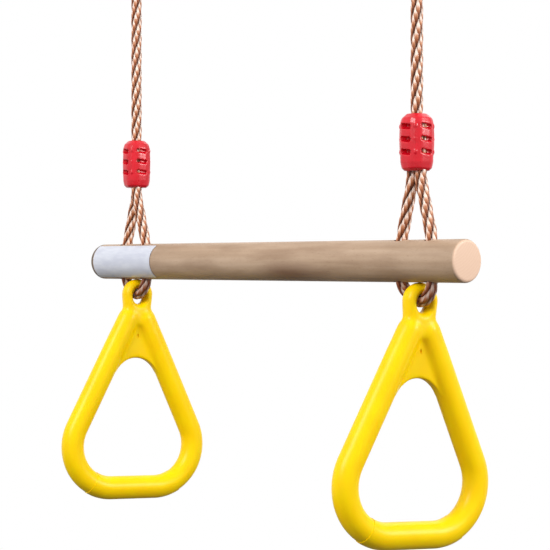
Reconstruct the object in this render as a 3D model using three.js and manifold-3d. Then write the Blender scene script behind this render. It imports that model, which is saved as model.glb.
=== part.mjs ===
// A wooden trapeze bar on two ropes, with a triangular gym ring hanging under each rope.
//
// Millimetres, +Z up, X along the bar, Y from the front of the bar to its back. The origin lies
// midway between the two steel rings, at the height where their hooks bear inside them.
// Each rope comes down through a moulded clamp, runs on through the bar, loops round below it
// through the eye of a gym ring, and comes back up through the bar to end in the same clamp.
import * as THREE from 'three';
import { mergeVertices } from 'three/addons/utils/BufferGeometryUtils.js';
import Module from 'manifold-3d';

const wasm = await Module();
wasm.setup();

// Ropes
const ropeDiameter = 10;
const ropeLength = 160;
const ropeFacets = 12;
const ropeSteps = 6;
const ropeEndFacets = 6;

// Wooden bar, with each pair of holes at the same distance from its end
const barLength = 500;
const barDiameter = 35;
const barEndRounding = 3;
const pairInset = 56;
const ropeSpacing = barLength - 2 * pairInset;
const holeSpacing = 34;
const holeClearance = 1.5;
const holeDiameter = ropeDiameter + 2 * holeClearance;
const barFacets = 32;
const roundingFacets = 3;
const holeFacets = 16;

// Sticker round the front of the bar's left end
const labelLength = 95;
const labelThickness = 0.4;
const labelEndMargin = 3.5;
const labelHoleMargin = 1.9;
const labelFacets = 12;

// Clamps moulded over the rope. Two legs of rope lie side by side in each.
const legGap = 0.4;
const legPitch = ropeDiameter + legGap;
const clampWall = 2.2;
const clampWidth = legPitch + ropeDiameter + 2 * clampWall;
const clampLength = 46.6;
const clampBulge = 0.4;
const collarWall = 2.6;
const collarRadius = ropeDiameter / 2 + collarWall;
const shoulderInset = 1.2;
const shoulderStep = 3.4;
const shoulderLength = 7.5;
const heelInset = 1;
const heelStep = 2.2;
const heelLength = 7;
const clampSquareness = 2.6;
const clampFacets = 20;
const channelEndWall = 7.5;
const mouthChamfer = 0.9;
const socketFacets = 12;
const windowWidth = 12.6;
const windowHeight = 4.6;
const windowPitch = 10.4;
const windowRise = 2.4;
const windowCount = 3;
const ribRadius = 1.8;
const ribStand = 0.7;
const ribFacets = 8;
const ribCapFacets = 2;

// Rope legs between the lower clamps and the bar. Each pair of legs is turned from the line of
// the bar where it leaves its clamp, and leans a little in the holes.
const legDrop = 55.9;
const pairTurn = { left: THREE.MathUtils.degToRad(-36), right: THREE.MathUtils.degToRad(-6) };
const clampTurn = { left: THREE.MathUtils.degToRad(-10.5), right: THREE.MathUtils.degToRad(-5) };
const legLean = { left: 1, right: 0.3 };
const loopSteps = 10;

// Gym rings, with drops measured from the centre of the rope in the eye. The stiff rope holds each
// eye a little behind the bar's middle, and each ring turned about the upright. It also hangs a
// little aslant, by its lean in its own plane and its tip out of it.
const eyeBack = { left: 0.7, right: 3.8 };
const ringYaw = { left: THREE.MathUtils.degToRad(-11.3), right: THREE.MathUtils.degToRad(-10.3) };
const ringLean = { left: THREE.MathUtils.degToRad(-2.3), right: THREE.MathUtils.degToRad(-3.1) };
const ringTip = { left: THREE.MathUtils.degToRad(-1.5), right: 0 };
const eyeClearance = 1;
const eyeWidth = ropeDiameter + 2 * eyeClearance;
const eyeDepth = 9.2;
const eyeLip = 4.8;
const eyeLipSteps = 3;
const eyeWall = 9;
const bossRadius = eyeWidth / 2 + eyeWall;
const bossThickness = 16.6;
const bossEdge = 7;
const bossEdgeFacets = 3;
const neckWidth = 28.4;
const neckDrop = 13;
const shoulderDrop = 24;
const shoulderSpread = 8.7;
const browDrop = 21;
const browDiameter = 20;
const browFacets = 12;
const sideDiameter = 22;
const gripDiameter = 23;
const gripDrop = 191.2;
const gripHalfStraight = 23.2;
const gripArc = THREE.MathUtils.degToRad(30);
const cornerRadius = 41.6;
const webThickness = 7.6;
const openingTopDrop = 63;
const tubeFacets = 16;
const cornerSteps = 10;
const gripArcSteps = 4;
const bossSteps = 12;
const archSteps = 10;

// Steel rings and the rope eyes on them
const wireDiameter = 6;
const steelRingOpening = 40;
const topEyeLength = 30;
const crownSteps = 8;
const wireFacets = 8;
const steelRingFacets = 24;

// Seating and running gaps, how far a cut runs past what it cuts, and how near two corners of a
// mesh lie that are one corner
const seatGap = 0.3;
const channelGap = 0.45;
const socketGap = 0.5;
const cutOverrun = 2;
const weldDistance = 0.0005;

// Heights, from the hooks down
const steelRingCentreZ = -steelRingOpening / 2;
const lowerWireZ = steelRingCentreZ - steelRingOpening / 2 - wireDiameter / 2;
const upperClampHeelZ = lowerWireZ - topEyeLength;
const upperClampMouthZ = upperClampHeelZ - clampLength;
const lowerClampMouthZ = upperClampMouthZ - ropeLength;
const lowerClampHeelZ = lowerClampMouthZ - clampLength;
const barTopZ = lowerClampHeelZ - legDrop;
const barZ = barTopZ - barDiameter / 2;
const barUndersideZ = barTopZ - barDiameter;
const eyeDrop = bossRadius + seatGap;
const eyeZ = barUndersideZ - eyeDrop;

const materials = {
  wood: new THREE.MeshStandardMaterial({ color: '#cbb092', roughness: 0.55, metalness: 0 }),
  label: new THREE.MeshStandardMaterial({ color: '#e9e9ef', roughness: 0.4, metalness: 0 }),
  rope: new THREE.MeshStandardMaterial({ color: '#a9745c', roughness: 0.5, metalness: 0 }),
  clamp: new THREE.MeshStandardMaterial({ color: '#d4242b', roughness: 0.3, metalness: 0 }),
  ring: new THREE.MeshStandardMaterial({ color: '#ffd900', roughness: 0.28, metalness: 0 }),
  steel: new THREE.MeshStandardMaterial({ color: '#c9ccd0', roughness: 0.35, metalness: 1 }),
};

// A curve through listed points whose steps fall evenly between those points, so that a bend
// gets as many steps as it has points and a straight stretch only a few.
class StationCurve extends THREE.CatmullRomCurve3 {
  getUtoTmapping(u) {
    return u;
  }
}

function toSolid(geometry) {
  const bare = geometry.clone();
  bare.deleteAttribute('normal');
  bare.deleteAttribute('uv');
  const welded = mergeVertices(bare, weldDistance);
  const corners = welded.index.array;
  const kept = [];
  for (let i = 0; i < corners.length; i += 3) {
    const [a, b, c] = [corners[i], corners[i + 1], corners[i + 2]];
    if (a !== b && b !== c && c !== a) kept.push(a, b, c);
  }
  const mesh = new wasm.Mesh({
    numProp: 3,
    vertProperties: Float32Array.from(welded.attributes.position.array),
    triVerts: Uint32Array.from(kept),
  });
  return new wasm.Manifold(mesh);
}

function toGeometry(solid) {
  const mesh = solid.getMesh();
  const geometry = new THREE.BufferGeometry();
  geometry.setAttribute('position', new THREE.BufferAttribute(mesh.vertProperties, 3));
  geometry.setIndex(new THREE.BufferAttribute(mesh.triVerts, 1));
  geometry.computeVertexNormals();
  return geometry;
}

function roundSection(radius, facets) {
  const points = [];
  for (let i = 0; i < facets; i += 1) {
    const angle = (2 * Math.PI * i) / facets;
    points.push(new THREE.Vector2(radius * Math.cos(angle), radius * Math.sin(angle)));
  }
  return new THREE.Shape(points);
}

// A round tube with a closed end at each end, through the listed points.
function sweep(points, radius, facets, stepsPerPoint = 1) {
  const path = new StationCurve(points, false, 'centripetal');
  const steps = (points.length - 1) * stepsPerPoint;
  const section = roundSection(radius, facets);
  return new THREE.ExtrudeGeometry(section, { steps, extrudePath: path, bevelEnabled: false });
}

// A lathe stands on +Z here, with its profile given as [radius, height] pairs from the bottom up.
function turned(profile, facets) {
  const points = profile.map(([radius, height]) => new THREE.Vector2(radius, height));
  return new THREE.LatheGeometry(points, facets).rotateX(Math.PI / 2);
}

function profileArc(centreRadius, centreHeight, radius, fromAngle, toAngle, facets) {
  const points = [];
  for (let i = 0; i <= facets; i += 1) {
    const angle = fromAngle + ((toAngle - fromAngle) * i) / facets;
    points.push([centreRadius + radius * Math.cos(angle), centreHeight + radius * Math.sin(angle)]);
  }
  return points;
}

// Turns an outline that was drawn in X and Y, and drawn out along Z, so that it stands across X.
function standAcross(geometry) {
  const turn = new THREE.Matrix4().makeBasis(
    new THREE.Vector3(0, 1, 0),
    new THREE.Vector3(0, 0, 1),
    new THREE.Vector3(1, 0, 0),
  );
  return geometry.applyMatrix4(turn);
}

// The dowel, with softened sawn ends and four holes drilled through it from top to bottom.
function woodenBar() {
  const half = barLength / 2;
  const inset = barDiameter / 2 - barEndRounding;
  const rounding = (height, fromAngle) =>
    profileArc(inset, height, barEndRounding, fromAngle, fromAngle + Math.PI / 2, roundingFacets);
  const profile = [
    [0, -half],
    ...rounding(-half + barEndRounding, -Math.PI / 2),
    ...rounding(half - barEndRounding, 0),
    [0, half],
  ];
  let bar = toSolid(turned(profile, barFacets).rotateY(Math.PI / 2));
  const depth = barDiameter + 2 * cutOverrun;
  const drill = new THREE.CylinderGeometry(holeDiameter / 2, holeDiameter / 2, depth, holeFacets);
  drill.rotateX(Math.PI / 2);
  for (const ropeX of [-ropeSpacing / 2, ropeSpacing / 2]) {
    for (const side of [-1, 1]) {
      const hole = drill.clone().translate(ropeX + (side * holeSpacing) / 2, 0, 0);
      bar = bar.subtract(toSolid(hole));
    }
  }
  return toGeometry(bar);
}

// The sticker wraps round the front of the bar and stops short of the holes above and below.
function endLabel() {
  const inner = barDiameter / 2 + seatGap;
  const outer = inner + labelThickness;
  const halfAngle =
    Math.PI / 2 - Math.asin(holeDiameter / barDiameter) - labelHoleMargin / (barDiameter / 2);
  const front = Math.PI;
  const outline = new THREE.Shape();
  outline.absarc(0, 0, outer, front - halfAngle, front + halfAngle, false);
  outline.absarc(0, 0, inner, front + halfAngle, front - halfAngle, true);
  const sheet = new THREE.ExtrudeGeometry(outline, {
    depth: labelLength,
    steps: 1,
    curveSegments: labelFacets / 2,
    bevelEnabled: false,
  });
  standAcross(sheet).translate(-barLength / 2 + labelEndMargin, 0, 0);
  return toGeometry(toSolid(sheet));
}

// Pushes a round barrel out towards a rounded square where it is full, and leaves it round where
// it narrows to the collar.
function squareUp(geometry) {
  const position = geometry.attributes.position;
  for (let i = 0; i < position.count; i += 1) {
    const x = position.getX(i);
    const y = position.getY(i);
    const radius = Math.hypot(x, y);
    if (radius < collarRadius) continue;
    const cosine = Math.abs(x / radius);
    const sine = Math.abs(y / radius);
    const square = (cosine ** clampSquareness + sine ** clampSquareness) ** (-1 / clampSquareness);
    const fullness = (radius - collarRadius) / (clampWidth / 2 - collarRadius);
    const scale = THREE.MathUtils.lerp(1, square, Math.min(1, fullness));
    position.setXY(i, x * scale, y * scale);
  }
  return geometry;
}

function clampBarrel() {
  const full = clampWidth / 2;
  const heelRadius = full - heelInset;
  const profile = [
    [0, -clampLength],
    [heelRadius - heelStep, -clampLength],
    [heelRadius, -clampLength + heelStep],
    [full, -clampLength + heelLength],
    [full + clampBulge, -clampLength / 2],
    [full, -shoulderLength],
    [full - shoulderInset, -shoulderStep],
    [collarRadius, 0],
    [0, 0],
  ];
  return toSolid(squareUp(turned(profile, clampFacets).rotateZ(Math.PI / clampFacets)));
}

// The windows stand in columns a little nearer the clamp's mouth than its heel.
const windowMiddle = windowRise - clampLength / 2;

// The rib that stands on one rounded corner of a clamp, as long as its column of windows.
function cornerRib(corner) {
  const angle = Math.PI / 4 + (corner * Math.PI) / 2;
  const cornerReach = (clampWidth / 2) * 2 ** (1 / 2 - 1 / clampSquareness);
  const reach = cornerReach + ribStand - ribRadius;
  const length = (windowCount - 1) * windowPitch + windowHeight;
  const rib = new THREE.CapsuleGeometry(ribRadius, length, ribCapFacets, ribFacets);
  rib.rotateX(Math.PI / 2);
  return toSolid(rib.translate(reach * Math.cos(angle), reach * Math.sin(angle), windowMiddle));
}

// The space in a clamp for the two legs of rope, open at the heel.
function legChannel(pairAngle) {
  const radius = ropeDiameter / 2 + channelGap;
  const outline = new THREE.Shape();
  outline.absarc(legPitch / 2, 0, radius, -Math.PI / 2, Math.PI / 2, false);
  outline.absarc(-legPitch / 2, 0, radius, Math.PI / 2, -Math.PI / 2, false);
  const channel = new THREE.ExtrudeGeometry(outline, {
    depth: clampLength - channelEndWall + cutOverrun,
    steps: 1,
    curveSegments: ropeFacets / 4,
    bevelEnabled: false,
  });
  return toSolid(channel.translate(0, 0, -clampLength - cutOverrun).rotateZ(pairAngle));
}

// The round seat in a clamp's mouth for the end of the free rope, chamfered at its rim.
function mouthSocket() {
  const radius = ropeDiameter / 2 + socketGap;
  const chamferAngle = -Math.asin(mouthChamfer / radius);
  const profile = [
    ...profileArc(0, 0, radius, -Math.PI / 2, chamferAngle, socketFacets / 4),
    [radius + mouthChamfer, 0],
    [radius + mouthChamfer, cutOverrun],
    [0, cutOverrun],
  ];
  return toSolid(turned(profile, socketFacets));
}

// The clamp stands with its mouth, where the single rope enters, at the origin, and with its heel
// below, where the two legs come out. The legs lie side by side along X, turned by pairAngle from
// the faces of the clamp. Windows where the mould's pins held the rope go through to it: three in
// a column on each face.
function ropeClamp(pairAngle) {
  let clamp = clampBarrel();
  for (let corner = 0; corner < 4; corner += 1) clamp = clamp.add(cornerRib(corner));
  clamp = clamp.subtract(legChannel(pairAngle)).subtract(mouthSocket());

  const windowReach = clampWidth / 2 + clampBulge + cutOverrun;
  const pin = new THREE.BoxGeometry(windowReach, windowWidth, windowHeight);
  for (let face = 0; face < 4; face += 1) {
    for (let row = 0; row < windowCount; row += 1) {
      const height = windowMiddle + (row - (windowCount - 1) / 2) * windowPitch;
      const cut = pin.clone().translate(windowReach / 2 + ropeDiameter / 2, 0, height);
      clamp = clamp.subtract(toSolid(cut.rotateZ((face * Math.PI) / 2)));
    }
  }
  return toGeometry(clamp);
}

// The free stretch of a rope, from one clamp's mouth to the other's. Its ends are rounded about
// the mouths' centres, so that the rope can lean in them.
function freeRope() {
  const radius = ropeDiameter / 2;
  const ends = [new THREE.Vector3(0, 0, 0), new THREE.Vector3(0, 0, -ropeLength)];
  let rope = toSolid(sweep(ends, radius, ropeFacets, ropeSteps));
  for (const end of ends) {
    const round = new THREE.SphereGeometry(radius, ropeFacets, ropeEndFacets).rotateX(Math.PI / 2);
    rope = rope.add(toSolid(round.translate(end.x, end.y, end.z)));
  }
  return toGeometry(rope);
}

// The route of one rope below its clamp: down one leg, through the bar, round under the bar
// through the eye of the gym ring, and back up the other leg.
function barLoopRoute(turnAngle, lean, eyeYaw, back) {
  const halfPair = legPitch / 2;
  const halfHoles = holeSpacing / 2;
  const legTopZ = lowerClampMouthZ - channelEndWall - channelGap;
  const turnedOut = (reach, height) =>
    new THREE.Vector3(reach * Math.cos(turnAngle), reach * Math.sin(turnAngle), height);
  const inClamp = (side) => [
    turnedOut(side * halfPair, legTopZ),
    turnedOut(side * halfPair, (legTopZ + lowerClampHeelZ) / 2),
    turnedOut(side * halfPair, lowerClampHeelZ + channelGap),
  ];
  const intoBar = (side) => {
    const exit = turnedOut(side * halfPair, lowerClampHeelZ - ropeDiameter / 2);
    const sideways = side * lean * Math.sin(turnAngle);
    const rim = new THREE.Vector3(side * (halfHoles - lean), sideways, barTopZ);
    return [
      exit,
      new THREE.Vector3().lerpVectors(exit, rim, 1 / 2),
      rim,
      new THREE.Vector3(side * halfHoles, 0, barZ),
      new THREE.Vector3(side * halfHoles, 0, (barZ + barUndersideZ) / 2),
    ];
  };
  const under = [];
  for (let i = 0; i <= loopSteps; i += 1) {
    const angle = (Math.PI * i) / loopSteps;
    const across = -halfHoles * Math.cos(angle);
    const yaw = eyeYaw * Math.sin(angle);
    const height = barUndersideZ - eyeDrop * Math.sin(angle);
    const behind = across * Math.sin(yaw) + back * Math.sin(angle);
    under.push(new THREE.Vector3(across * Math.cos(yaw), behind, height));
  }
  return [
    ...inClamp(-1),
    ...intoBar(-1),
    ...under,
    ...intoBar(1).reverse(),
    ...inClamp(1).reverse(),
  ];
}

function barLoop(turnAngle, lean, eyeYaw, back) {
  const route = barLoopRoute(turnAngle, lean, eyeYaw, back);
  return toGeometry(toSolid(sweep(route, ropeDiameter / 2, ropeFacets)));
}

// The rope's upper end, doubled back through the steel ring into the upper clamp.
function topEye() {
  const halfPair = legPitch / 2;
  const legEndZ = upperClampMouthZ + channelEndWall + channelGap;
  const bend = wireDiameter / 2 + ropeDiameter / 2 + seatGap;
  const rise = (side) => [
    new THREE.Vector3(side * halfPair, 0, legEndZ),
    new THREE.Vector3(side * halfPair, 0, (legEndZ + upperClampHeelZ) / 2),
    new THREE.Vector3(side * halfPair, 0, upperClampHeelZ),
    new THREE.Vector3((side * (halfPair + bend)) / 2, 0, (upperClampHeelZ + lowerWireZ) / 2),
  ];
  const crown = [];
  for (let i = 0; i <= crownSteps; i += 1) {
    const angle = Math.PI - (Math.PI * i) / crownSteps;
    crown.push(new THREE.Vector3(bend * Math.cos(angle), 0, lowerWireZ + bend * Math.sin(angle)));
  }
  const route = [...rise(-1), ...crown, ...rise(1).reverse()];
  return toGeometry(toSolid(sweep(route, ropeDiameter / 2, ropeFacets)));
}

function steelRing() {
  const centreRadius = steelRingOpening / 2 + wireDiameter / 2;
  const ring = new THREE.TorusGeometry(centreRadius, wireDiameter / 2, wireFacets, steelRingFacets);
  return toGeometry(toSolid(ring.rotateY(Math.PI / 2)));
}

// The gym ring stands across X, with the centre of the rope in its eye at the origin. Each side
// runs straight from its shoulder until it meets the round of the lower corner, and that sets its
// angle.
const sideRadius = sideDiameter / 2;
const cornerDrop = gripDrop - cornerRadius;
const cornerOut = gripHalfStraight - shoulderSpread;
const cornerBelow = cornerDrop - shoulderDrop;
const sideAngle =
  Math.atan2(cornerOut, cornerBelow) +
  Math.asin(cornerRadius / Math.hypot(cornerOut, cornerBelow));

function sideSpread(drop) {
  return shoulderSpread + (drop - shoulderDrop) * Math.tan(sideAngle);
}

function inRingPlane(point) {
  return new THREE.Vector3(0, point.x, point.y);
}

// Cuts an outline out of plate that stands in the ring's plane, centred on it.
function plate(outline, thickness, edge, arcSteps) {
  const depth = thickness - 2 * edge;
  const geometry = new THREE.ExtrudeGeometry(outline, {
    depth,
    steps: 1,
    curveSegments: arcSteps / 2,
    bevelEnabled: edge > 0,
    bevelThickness: edge,
    bevelSize: edge,
    bevelOffset: -edge,
    bevelSegments: bossEdgeFacets,
  });
  return toSolid(standAcross(geometry.translate(0, 0, -depth / 2)));
}

function ringSides() {
  const line = new THREE.Path();
  const lowest = 1.5 * Math.PI;
  const sideEndDrop = cornerDrop - cornerRadius * Math.sin(sideAngle);
  line.moveTo(-shoulderSpread, -shoulderDrop);
  line.lineTo(-sideSpread(sideEndDrop), -sideEndDrop);
  line.absarc(-gripHalfStraight, -cornerDrop, cornerRadius, Math.PI - sideAngle, lowest, false);
  line.absarc(gripHalfStraight, -cornerDrop, cornerRadius, -Math.PI / 2, sideAngle, false);
  line.lineTo(shoulderSpread, -shoulderDrop);
  let sides = toSolid(sweep(line.getPoints(cornerSteps / 2).map(inRingPlane), sideRadius, tubeFacets));
  for (const side of [-1, 1]) {
    const shoulder = new THREE.SphereGeometry(sideRadius, tubeFacets, tubeFacets / 2);
    sides = sides.add(toSolid(shoulder.translate(0, side * shoulderSpread, -shoulderDrop)));
  }
  return sides;
}

// The thicker hand grip, which reaches a little way up each lower corner.
function ringGrip() {
  const line = new THREE.Path();
  const lowest = 1.5 * Math.PI;
  line.absarc(-gripHalfStraight, -cornerDrop, cornerRadius, lowest - gripArc, lowest, false);
  line.absarc(gripHalfStraight, -cornerDrop, cornerRadius, lowest, lowest + gripArc, false);
  const points = line.getPoints(gripArcSteps / 2).map(inRingPlane);
  return toSolid(sweep(points, gripDiameter / 2, tubeFacets));
}

// The boss round the eye and the neck below it, which draws in a little on its way down to the
// shoulders.
function ringNeck() {
  const outline = new THREE.Shape();
  outline.absarc(0, 0, bossRadius, 0, Math.PI, false);
  outline.lineTo(-neckWidth / 2, -neckDrop);
  outline.lineTo(-neckWidth / 2, -shoulderDrop);
  outline.lineTo(neckWidth / 2, -shoulderDrop);
  outline.lineTo(neckWidth / 2, -neckDrop);
  return plate(outline, bossThickness, bossEdge, bossSteps);
}

// The brow is a rounded bar across the neck's foot, from one shoulder to the other.
function ringBrow() {
  const ends = [-shoulderSpread, shoulderSpread].map((y) => new THREE.Vector3(0, y, -browDrop));
  return toSolid(sweep(ends, browDiameter / 2, browFacets));
}

// The thin web between the sides, whose lower edge is an arch that runs smoothly into both.
function ringWeb() {
  const halfTop = sideSpread(openingTopDrop) - sideRadius / Math.cos(sideAngle);
  const archRadius = (halfTop * Math.cos(sideAngle)) / (1 - Math.sin(sideAngle));
  const archCentreDrop = openingTopDrop + archRadius;
  const footDrop = archCentreDrop - archRadius * Math.sin(sideAngle) + sideRadius;
  const outline = new THREE.Shape();
  outline.moveTo(-shoulderSpread, -shoulderDrop);
  outline.lineTo(-sideSpread(footDrop), -footDrop);
  outline.absarc(0, -archCentreDrop, archRadius, Math.PI - sideAngle, sideAngle, true);
  outline.lineTo(sideSpread(footDrop), -footDrop);
  outline.lineTo(shoulderSpread, -shoulderDrop);
  return plate(outline, webThickness, 0, archSteps);
}

// The eye is a short upright oval whose lips are rounded over, so that the rope's bend lies
// smoothly on its top.
function eyeCut() {
  const half = bossThickness / 2;
  const top = ropeDiameter / 2 + seatGap;
  const flared = eyeWidth / 2 + eyeLip;
  const profile = [
    [0, -half - cutOverrun],
    [flared, -half - cutOverrun],
  ];
  for (let i = -eyeLipSteps; i <= eyeLipSteps; i += 1) {
    const angle = ((i / eyeLipSteps) * Math.PI) / 2;
    profile.push([flared - eyeLip * Math.cos(angle), half * Math.sin(angle)]);
  }
  profile.push([flared, half + cutOverrun], [0, half + cutOverrun]);
  const flare = turned(profile, tubeFacets).rotateY(Math.PI / 2);
  flare.scale(1, 1, (top + eyeDepth) / eyeWidth);
  return toSolid(flare.translate(0, 0, (top - eyeDepth) / 2));
}

function gymRing() {
  const whole = ringSides().add(ringGrip()).add(ringNeck()).add(ringBrow()).add(ringWeb());
  return toGeometry(whole.subtract(eyeCut()));
}

function addPart(group, name, geometry, material) {
  const mesh = new THREE.Mesh(geometry, material.clone());
  mesh.name = name;
  group.add(mesh);
  return mesh;
}

const trapeze = new THREE.Group();
addPart(trapeze, 'wooden_bar', woodenBar(), materials.wood).position.z = barZ;
addPart(trapeze, 'end_label', endLabel(), materials.label).position.z = barZ;

for (const [side, ropeX] of [['left', -ropeSpacing / 2], ['right', ropeSpacing / 2]]) {
  const hanging = new THREE.Group();
  hanging.position.x = ropeX;
  trapeze.add(hanging);

  addPart(hanging, `${side}_steel_ring`, steelRing(), materials.steel).position.z = steelRingCentreZ;
  addPart(hanging, `${side}_top_eye`, topEye(), materials.rope);

  const upperClamp = addPart(hanging, `${side}_upper_clamp`, ropeClamp(0), materials.clamp);
  upperClamp.position.z = upperClampMouthZ;
  upperClamp.rotation.x = Math.PI;

  addPart(hanging, `${side}_rope`, freeRope(), materials.rope).position.z = upperClampMouthZ;

  const lowerClampShape = ropeClamp(pairTurn[side] - clampTurn[side]);
  const lowerClamp = addPart(hanging, `${side}_lower_clamp`, lowerClampShape, materials.clamp);
  lowerClamp.position.z = lowerClampMouthZ;
  lowerClamp.rotation.z = clampTurn[side];

  const loop = barLoop(pairTurn[side], legLean[side], ringYaw[side], eyeBack[side]);
  addPart(hanging, `${side}_bar_loop`, loop, materials.rope);

  const ring = addPart(hanging, `${side}_gym_ring`, gymRing(), materials.ring);
  ring.position.set(0, eyeBack[side], eyeZ);
  ring.rotation.set(ringLean[side], ringTip[side], ringYaw[side], 'ZYX');
}

export default trapeze;
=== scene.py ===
# %% [markdown]
# # A wooden trapeze bar with two gym rings
# A round wooden bar hangs on two braided ropes. Each rope runs through a red moulded clamp, goes
# through the bar in two legs, and carries a yellow gym ring in the loop below it. This notebook
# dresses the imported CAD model: every piece is modelled again at the detail the eye sees, in the
# same place and in metres, and rides on the body that the CAD gives it.

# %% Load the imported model
import math

import bmesh
import bpy
import numpy as np
from mathutils import Matrix, Vector


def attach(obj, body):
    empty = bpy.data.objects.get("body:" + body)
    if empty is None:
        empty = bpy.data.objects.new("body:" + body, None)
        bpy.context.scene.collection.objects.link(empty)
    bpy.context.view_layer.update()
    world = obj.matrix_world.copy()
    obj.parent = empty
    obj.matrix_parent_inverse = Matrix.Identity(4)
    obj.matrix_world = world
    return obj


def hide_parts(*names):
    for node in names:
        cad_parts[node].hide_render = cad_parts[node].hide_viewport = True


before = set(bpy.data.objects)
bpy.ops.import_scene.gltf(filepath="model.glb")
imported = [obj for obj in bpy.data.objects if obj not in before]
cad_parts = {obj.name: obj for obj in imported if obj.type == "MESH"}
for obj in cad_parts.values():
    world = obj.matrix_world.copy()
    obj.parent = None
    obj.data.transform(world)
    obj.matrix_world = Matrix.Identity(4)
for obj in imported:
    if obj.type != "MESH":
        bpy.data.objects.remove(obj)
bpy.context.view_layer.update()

MM = 0.001

# %% [markdown]
# ## The camera
# The photograph was taken from the front right with a long lens, level with the middle of the
# object, so both ropes look almost parallel. A camera is set by where it stands, which way it
# looks and its focal length. Here the focal length is in pixels of a 550 pixel picture, because
# that is how it was worked out, and it is turned into millimetres on a 36 mm sensor.

# %% Camera
PICTURE_PIXELS = 550
FOCAL_PIXELS = 1628
HORIZON_ROW = 264
HEADING = math.radians(49.2)
camera_place = Vector((1.124, -0.9555, -0.402))

camera_data = bpy.data.cameras.new("camera")
camera_data.sensor_width = 36
camera_data.lens = camera_data.sensor_width * FOCAL_PIXELS / PICTURE_PIXELS
camera = bpy.data.objects.new("camera", camera_data)
bpy.context.scene.collection.objects.link(camera)
bpy.context.scene.camera = camera
pitch_down = math.atan((PICTURE_PIXELS / 2 - HORIZON_ROW) / FOCAL_PIXELS)
look = Vector((-math.sin(HEADING), math.cos(HEADING), -math.tan(pitch_down)))
camera.location = camera_place
camera.rotation_euler = look.to_track_quat("-Z", "Y").to_euler()
print("lens", round(camera_data.lens, 2), "mm")

# %% [markdown]
# ## Small helpers
# Operators act on whatever is selected, and the loaded CAD nodes are selected, so every step
# starts by selecting one piece only. A shape is closed up by turning all its faces outward and
# leaving edit mode. A modifier is added, set and applied in one go, so that the finished mesh
# holds its own shape.


# %% Helpers for selecting, applying and cutting
def select_only(piece):
    if bpy.context.mode != "OBJECT":
        bpy.ops.object.mode_set(mode="OBJECT")
    bpy.ops.object.select_all(action="DESELECT")
    piece.select_set(True)
    bpy.context.view_layer.objects.active = piece


def add_object(name, data):
    piece = bpy.data.objects.new(name, data)
    bpy.context.scene.collection.objects.link(piece)
    return piece


def edit_all(piece):
    select_only(piece)
    bpy.ops.object.mode_set(mode="EDIT")
    bpy.ops.mesh.select_all(action="SELECT")


def close_up(piece):
    bpy.ops.mesh.select_all(action="SELECT")
    bpy.ops.mesh.normals_make_consistent(inside=False)
    bpy.ops.object.mode_set(mode="OBJECT")
    return piece


def place_in_mesh(piece, name):
    select_only(piece)
    bpy.ops.object.transform_apply(location=True, rotation=True, scale=True)
    piece.name = name
    piece.data.name = name
    return piece


def apply_modifier(piece, kind, **settings):
    select_only(piece)
    modifier = piece.modifiers.new(kind.lower(), kind)
    for setting, value in settings.items():
        setattr(modifier, setting, value)
    bpy.ops.object.modifier_apply(modifier=modifier.name)


def combine(piece, tool, operation):
    apply_modifier(piece, "BOOLEAN", object=tool, operation=operation, solver="EXACT")
    bpy.data.objects.remove(tool, do_unlink=True)


def join(pieces, name):
    select_only(pieces[0])
    for piece in pieces[1:]:
        piece.select_set(True)
    bpy.ops.object.join()
    return place_in_mesh(pieces[0], name)


def dress(piece, body, material, replaced=()):
    piece.data.materials.clear()
    piece.data.materials.append(material)
    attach(piece, body)
    if replaced:
        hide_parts(*replaced)
    print(f"{piece.name}: {len(piece.data.polygons)} faces")


# %% [markdown]
# ## Colours and nodes
# Colours are written as sRGB hex values, as a picture editor shows them, and Blender's shaders
# want linear light, so one function converts them. One more adds a node to a material, sets it,
# links its inputs by name or in their order, and gives a colour ramp its stops. Every material
# below is built with these two. The inputs of a Map Range node are, in their order, the value,
# the two ends of the range that it comes in, and what these two ends become.


# %% Helpers for colours and nodes
def linear(hex_colour):
    channels = []
    for start in (1, 3, 5):
        value = int(hex_colour[start:start + 2], 16) / 255
        channels.append(value / 12.92 if value <= 0.04045 else ((value + 0.055) / 1.055) ** 2.4)
    return (*channels, 1.0)


def add_node(tree, kind, settings=None, inputs=(), stops=()):
    node = tree.nodes.new(kind)
    for setting, value in (settings or {}).items():
        setattr(node, setting, value)
    sockets = inputs if isinstance(inputs, dict) else dict(enumerate(inputs))
    for socket, value in sockets.items():
        if isinstance(value, bpy.types.NodeSocket):
            tree.links.new(value, node.inputs[socket])
        else:
            node.inputs[socket].default_value = value
    if stops:
        elements = node.color_ramp.elements
        while len(elements) < len(stops):
            elements.new(1)
        for element, (place, hex_colour) in zip(elements, stops):
            element.position, element.color = place, linear(hex_colour)
    return node


def start_material(name, **sockets):
    material = bpy.data.materials.new(name)
    material.use_nodes = True
    shader = material.node_tree.nodes["Principled BSDF"]
    for socket, value in sockets.items():
        shader.inputs[socket.replace("_", " ")].default_value = value
    return material, material.node_tree, shader


# %% [markdown]
# ## The rope's line
# The route of each rope is a list of points, the same ones that the CAD model uses. A rope bends
# smoothly, so a curve is drawn through the points and then walked at an even pace. At each step
# the rope needs a sideways direction that doesn't spin about its own line, and carrying the last
# one along, made square to the new direction, gives that.


# %% Walk along a route
FINE_STEPS = 20


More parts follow.
